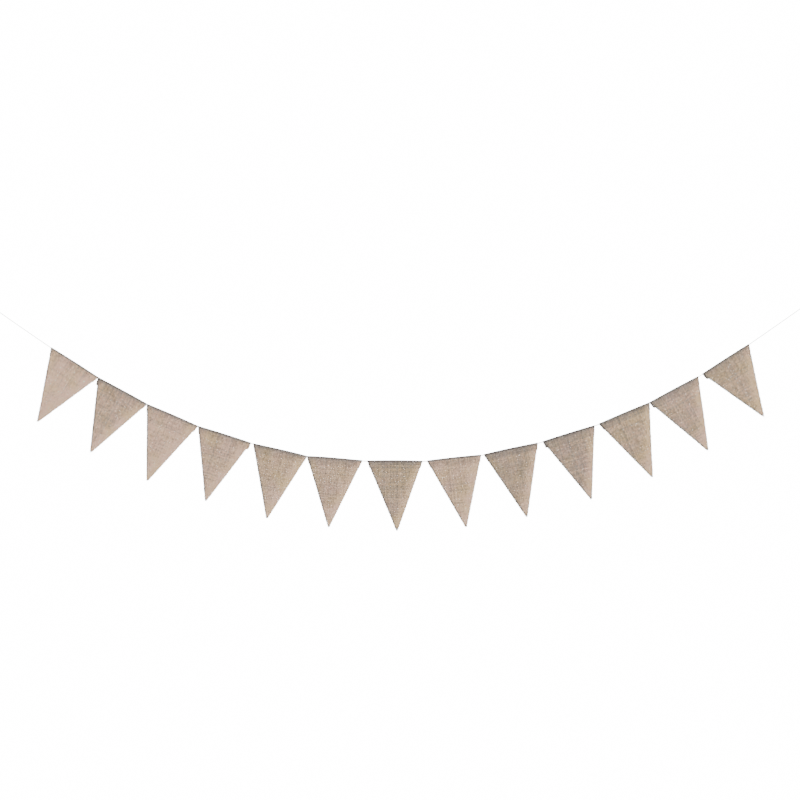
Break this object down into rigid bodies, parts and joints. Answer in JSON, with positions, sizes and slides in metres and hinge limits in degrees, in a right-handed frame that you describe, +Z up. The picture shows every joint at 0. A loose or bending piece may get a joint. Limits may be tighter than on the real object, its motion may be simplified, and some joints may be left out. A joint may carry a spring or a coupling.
{
  "type": "pennant bunting",
  "caption": "Garland of plain triangular burlap pennants, each folded over and sewn round a thin white cord that hangs in a curve between two end loops.",
  "frame": {"origin": "the nail's centre in the left end loop, on the banner's own plane", "axes": "+X to the right along the banner, -Y out of the flags' front, +Z up"},
  "size_m": [2.1708, 0.0174, 0.6095],
  "materials": {
    "burlap": "plain coarse jute weave, undyed beige, dry and matte",
    "cotton": "thin twisted white cotton cord, matte"
  },
  "bodies": {
    "root": {"cord": "cotton", "left_knot": "cotton", "left_loop": "cotton", "left_end": "cotton", "right_knot": "cotton", "right_loop": "cotton", "right_end": "cotton", "flag_01": "burlap", "flag_02": "burlap", "flag_03": "burlap", "flag_04": "burlap", "flag_05": "burlap", "flag_06": "burlap", "flag_07": "burlap", "flag_08": "burlap", "flag_09": "burlap", "flag_10": "burlap", "flag_11": "burlap", "flag_12": "burlap", "flag_13": "burlap"}
  },
  "joints": []
}
